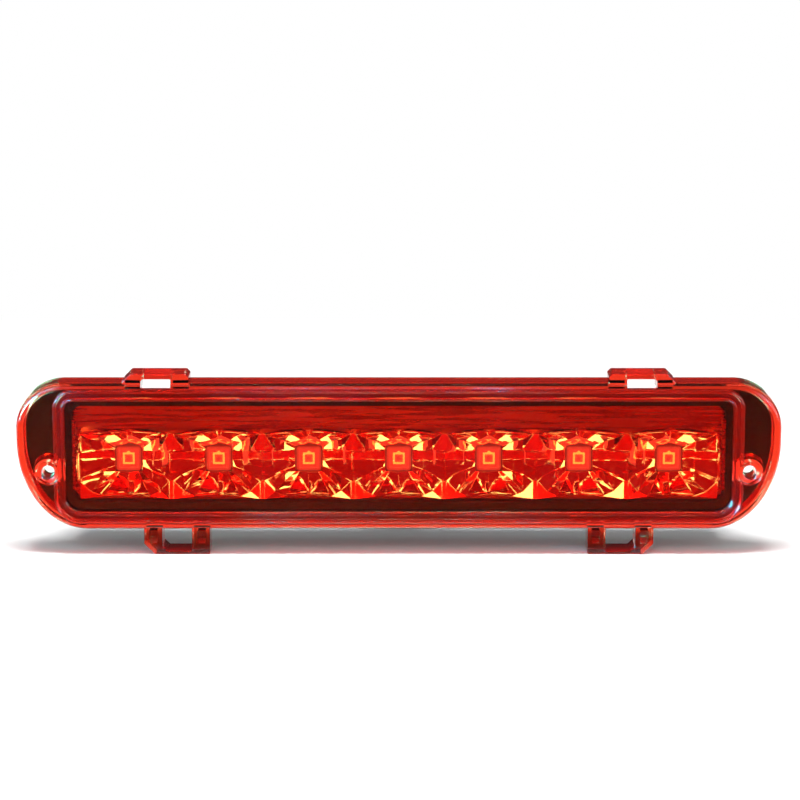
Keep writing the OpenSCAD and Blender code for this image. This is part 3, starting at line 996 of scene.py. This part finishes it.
def foam():
    """Closed-cell foam: open pores over a matt dark body, with painted shade in the pores."""
    s = Shader("gasket_foam")
    s.principled((0.03, 0.03, 0.032), 0.9)
    pore_dips_and_shade = s.cells(1600)
    # Darker in each pore's middle, where the relief dips: painted shade.
    s.tinted(pore_dips_and_shade, (0.012, 0.012, 0.013), (0.055, 0.055, 0.058), 0.1, 0.6)
    s.rough(s.noise(300, 3), 0.82, 0.98)
    s.bump(pore_dips_and_shade, 0.6, 0.25)
    return s.done()


def metal(name, dark, light, roughness, stretch=(1, 1, 1), scale=900):
    """Plated or drawn metal with brush marks and small differences in tarnish."""
    s = Shader(name)
    s.principled(light, roughness, 1.0)
    s.tinted(s.noise(120, 5), dark, light)
    s.rough(s.noise(scale, 3, stretch), roughness * 0.7, roughness * 1.4)
    s.bump(s.noise(scale, 3, stretch), 0.15, 0.03)
    return s.done()


def solder_mask():
    """White solder mask over copper planes, with the copper's step showing through."""
    s = Shader("board_white")
    s.principled((0.82, 0.83, 0.8), 0.4)
    copper = s.add("ShaderNodeTexBrick")
    copper.inputs["Scale"].default_value = 60
    copper.inputs["Mortar Size"].default_value = 0.03
    copper.inputs["Color1"].default_value = (0.84, 0.84, 0.8, 1)
    copper.inputs["Color2"].default_value = (0.78, 0.8, 0.76, 1)
    copper.inputs["Mortar"].default_value = (0.66, 0.68, 0.6, 1)
    turned = s.add("ShaderNodeMapping")
    turned.inputs["Rotation"].default_value = (math.pi / 2, 0, 0)
    s.link(s.coordinates, turned.inputs["Vector"])
    s.link(turned.outputs["Vector"], copper.inputs["Vector"])
    s.link(copper.outputs["Color"], s.bsdf.inputs["Base Color"])
    s.rough(s.noise(500, 3), 0.32, 0.5)
    s.bump(copper.outputs["Fac"], 0.3, 0.04)
    return s.done()


def membrane():
    """Woven breathing film of the vent, with painted shade in the dips of its weave."""
    s = Shader("vent_white")
    s.principled((0.8, 0.8, 0.78), 0.75)
    weave_dips_and_shade = s.cells(2600)
    # Darker in each cell's middle, where the relief dips: painted shade.
    s.tinted(weave_dips_and_shade, (0.62, 0.62, 0.6), (0.86, 0.86, 0.84), 0.1, 0.6)
    s.rough(s.noise(400, 3), 0.65, 0.85)
    s.bump(weave_dips_and_shade, 0.4, 0.06)
    return s.done()


def dress_nodes():
    """Gives every CAD node that stays its own material."""
    materials = {
        "circuit_board": solder_mask(),
        "led_lead_frames": metal("lead_metal", (0.62, 0.61, 0.58), (0.83, 0.82, 0.79), 0.3),
        "led_chips": metal("chip", (0.5, 0.3, 0.08), (0.85, 0.55, 0.15), 0.35),
        "series_resistors": moulded("resistor_black", (0.03, 0.03, 0.03), 0.35),
        "reverse_diode": moulded("diode_black", (0.025, 0.025, 0.025), 0.45),
        "surge_suppressor": moulded("moulded_black", (0.03, 0.03, 0.032), 0.5),
        "filter_capacitor": moulded("capacitor_tan", (0.45, 0.3, 0.17), 0.4),
        "header_seal": moulded("seal_rubber", (0.22, 0.03, 0.015), 0.55, 700, 0.2, 0.08),
        "terminal_feed": metal("terminal_brass", (0.6, 0.42, 0.15), (0.86, 0.66, 0.3), 0.25,
                               (1, 0.1, 1)),
        "board_screws": metal("screw_steel", (0.45, 0.45, 0.47), (0.75, 0.75, 0.76), 0.28),
        "vent_membrane": membrane(),
    }
    materials["terminal_ground"] = materials["terminal_feed"]
    for node, material in materials.items():
        mesh = frame["nodes"][node].data
        mesh.materials.clear()
        mesh.materials.append(material)


# ---------------------------------------------------------------- stage
def area_light(name, place, size, power, seen_by, color=(1, 1, 1)):
    """Softbox aimed at the lamp; seen_by lists the kinds of ray that find it."""
    data = bpy.data.lights.new(name, "AREA")
    data.shape = "RECTANGLE"
    data.size, data.size_y = size
    data.energy = power
    data.color = color
    obj = link(bpy.data.objects.new(name, data))
    obj.location = place
    obj.rotation_euler = (-Vector(place)).to_track_quat("-Z", "Y").to_euler()
    obj.visible_camera = False
    obj.visible_diffuse = "diffuse" in seen_by
    obj.visible_glossy = "glossy" in seen_by
    obj.visible_transmission = "transmission" in seen_by


# Share by which the paper is dimmed for see-through rays.
FLOOR_DIM = 0.75


def floor_material():
    """White paper that fades to a white end, dimmed ahead of the lamp for mirror rays and, less
    so and farther out, for see-through rays."""
    s = Shader("floor_white")
    s.principled((0.9, 0.9, 0.9), 0.7)
    s.tinted(s.noise(30, 4), (0.89, 0.89, 0.89), (0.91, 0.91, 0.91))
    dimmed = s.add("ShaderNodeBsdfDiffuse")
    dimmed.inputs["Color"].default_value = (0.03, 0.03, 0.03, 1)
    path = s.add("ShaderNodeLightPath").outputs
    mirror = s.math("MULTIPLY", path["Is Glossy Ray"], path["Is Reflection Ray"])
    through = s.math("MULTIPLY", path["Is Transmission Ray"], FLOOR_DIM)
    split = s.add("ShaderNodeSeparateXYZ")
    s.link(s.coordinates, split.inputs["Vector"])
    ahead = s.spread(split.outputs["Y"], 1.0, 0.0, -0.02, -0.01)
    far_ahead = s.spread(split.outputs["Y"], 1.0, 0.0, -0.20, -0.11)
    mirror_share = s.math("MULTIPLY", mirror, ahead)
    factor = s.math("MAXIMUM", mirror_share, s.math("MULTIPLY", through, far_ahead))
    mix = s.add("ShaderNodeMixShader")
    s.link(factor, mix.inputs["Fac"])
    s.link(s.bsdf.outputs["BSDF"], mix.inputs[1])
    s.link(dimmed.outputs["BSDF"], mix.inputs[2])
    sheet_end = s.add("ShaderNodeEmission")
    sheet_end.inputs["Strength"].default_value = 1.0
    fade = s.add("ShaderNodeMixShader")
    s.link(s.spread(split.outputs["Y"], 0.0, 1.0, 0.15, 0.4), fade.inputs["Fac"])
    s.link(mix.outputs["Shader"], fade.inputs[1])
    s.link(sheet_end.outputs["Emission"], fade.inputs[2])
    s.link(fade.outputs["Shader"], s.out.inputs["Surface"])
    return s.material


# Brightness of the surround for each kind of ray, and for any other.
WORLD_LEVELS = {"Is Camera Ray": 1.0, "Is Glossy Ray": 0.03, "Is Transmission Ray": 0.8}
WORLD_DIFFUSE = 0.42


def make_world():
    """White surround for the camera, dimmer for light, mirror and see-through rays."""
    world = bpy.data.worlds.new("studio")
    bpy.context.scene.world = world
    world.use_nodes = True
    nodes, links = world.node_tree.nodes, world.node_tree.links
    path = nodes.new("ShaderNodeLightPath")
    level = None
    for output, value in WORLD_LEVELS.items():
        mix = nodes.new("ShaderNodeMix")
        mix.inputs["A"].default_value = WORLD_DIFFUSE
        mix.inputs["B"].default_value = value
        links.new(path.outputs[output], mix.inputs["Factor"])
        if level:
            links.new(level, mix.inputs["A"])
        level = mix.outputs["Result"]
    background = nodes["Background"]
    background.inputs["Color"].default_value = (1, 1, 1, 1)
    links.new(level, background.inputs["Strength"])


def make_floor():
    """Wide flat sheet of paper that the lower loops stand on."""
    floor_z = cad_box[0][2]
    half, front, back = 1.5, -1.2, 0.45
    bm = bmesh.new()
    corners = [(-half, front), (half, front), (half, back), (-half, back)]
    bm.faces.new([bm.verts.new((x, y, floor_z)) for x, y in corners])
    mesh = mesh_of(bm, "floor")
    mesh.materials.append(floor_material())
    link(bpy.data.objects.new("floor", mesh))


# Blue-green tint of the keys, so that their glints stay pale after two passes through red plastic.
COOL = (0.0015, 0.45, 0.8)


def make_lights():
    """Two lights for the paper, and softboxes that only glossy or see-through rays find."""
    area_light("overhead", (0.0, -0.2, 1.0), (0.5, 0.25), 14, {"diffuse"})
    area_light("front_fill", (0.0, -1.2, 0.9), (1.2, 0.6), 6, {"diffuse"})
    area_light("upper_front", (0.0, -0.45, 0.85), (0.9, 0.5), 3, {"transmission"})
    area_light("ridge_strip", (0.0, -0.35, 1.0), (1.6, 0.3), 1.0, {"glossy"})
    area_light("side_left", (-0.9, -0.5, 0.15), (0.4, 0.5), 3, {"transmission", "glossy"})
    area_light("side_right", (0.9, -0.5, 0.15), (0.4, 0.5), 3, {"transmission", "glossy"})
    area_light("lower_front", (0.0, -0.7, 0.04), (0.9, 0.1), 1.2, {"transmission"})
    area_light("key_left", (-0.446, -0.772, 0.13), (0.45, 0.25), 1400, {"transmission"}, COOL)
    area_light("key_side", (-0.73, -0.49, 0.19), (0.25, 0.45), 1400, {"transmission"}, COOL)
    area_light("key_right", (0.446, -0.772, 0.13), (0.32, 0.22), 880, {"transmission"}, COOL)
    area_light("key_low", (0.0, -0.9, 0.02), (0.2, 0.08), 200, {"transmission"}, COOL)


def make_camera():
    """Long lens just above the lamp's front, framed as a centred catalogue view."""
    data = bpy.data.cameras.new("camera")
    obj = link(bpy.data.objects.new("camera", data))
    distance, elevation = 0.9, math.radians(12.5)
    target = Vector((0.0, FRONT_Y * MM, LENS_MID * MM))
    back = Vector((0, -math.cos(elevation), math.sin(elevation)))
    obj.location = target + back * distance
    obj.rotation_euler = (-back).to_track_quat("-Z", "Y").to_euler()
    frame_width = 0.2363
    data.sensor_width = 36
    data.lens = data.sensor_width * distance / frame_width
    data.shift_x = 0.0015
    data.shift_y = 0.0712
    bpy.context.scene.camera = obj


make_camera()
make_world()
make_floor()
make_lights()
# The second plastic is milky: painted light, a brighter red on the ridges and loops.
make_lens(lens_plastic("lens_red", (0.80, 0.035, 0.012), 1.0, 0.02),
          lens_plastic("lens_red_lit_edges", (0.92, 0.02, 0.008), 0.77, 0.03))
make_reflector(mirror_metal())
make_apron(apron_metal())
# Face and flanks both glow though the lamps are not lit: painted light, weaker on the flanks.
led_materials = (led_resin("led_face", 1.0), led_pad(), led_resin("led_flank", 0.4))
for led_index in range(CELLS):
    make_led(led_index, *led_materials)
make_housing(moulded("housing_black", (0.022, 0.022, 0.024), 0.5))
make_gasket(foam())
make_header(moulded("header_black", (0.03, 0.03, 0.033), 0.38))
dress_nodes()

scene = bpy.context.scene
scene.view_settings.view_transform = "Standard"
scene.cycles.caustics_refractive = False
scene.cycles.caustics_reflective = False
scene.cycles.glossy_bounces = 8
scene.cycles.max_bounces = 16
scene.cycles.transmission_bounces = 12
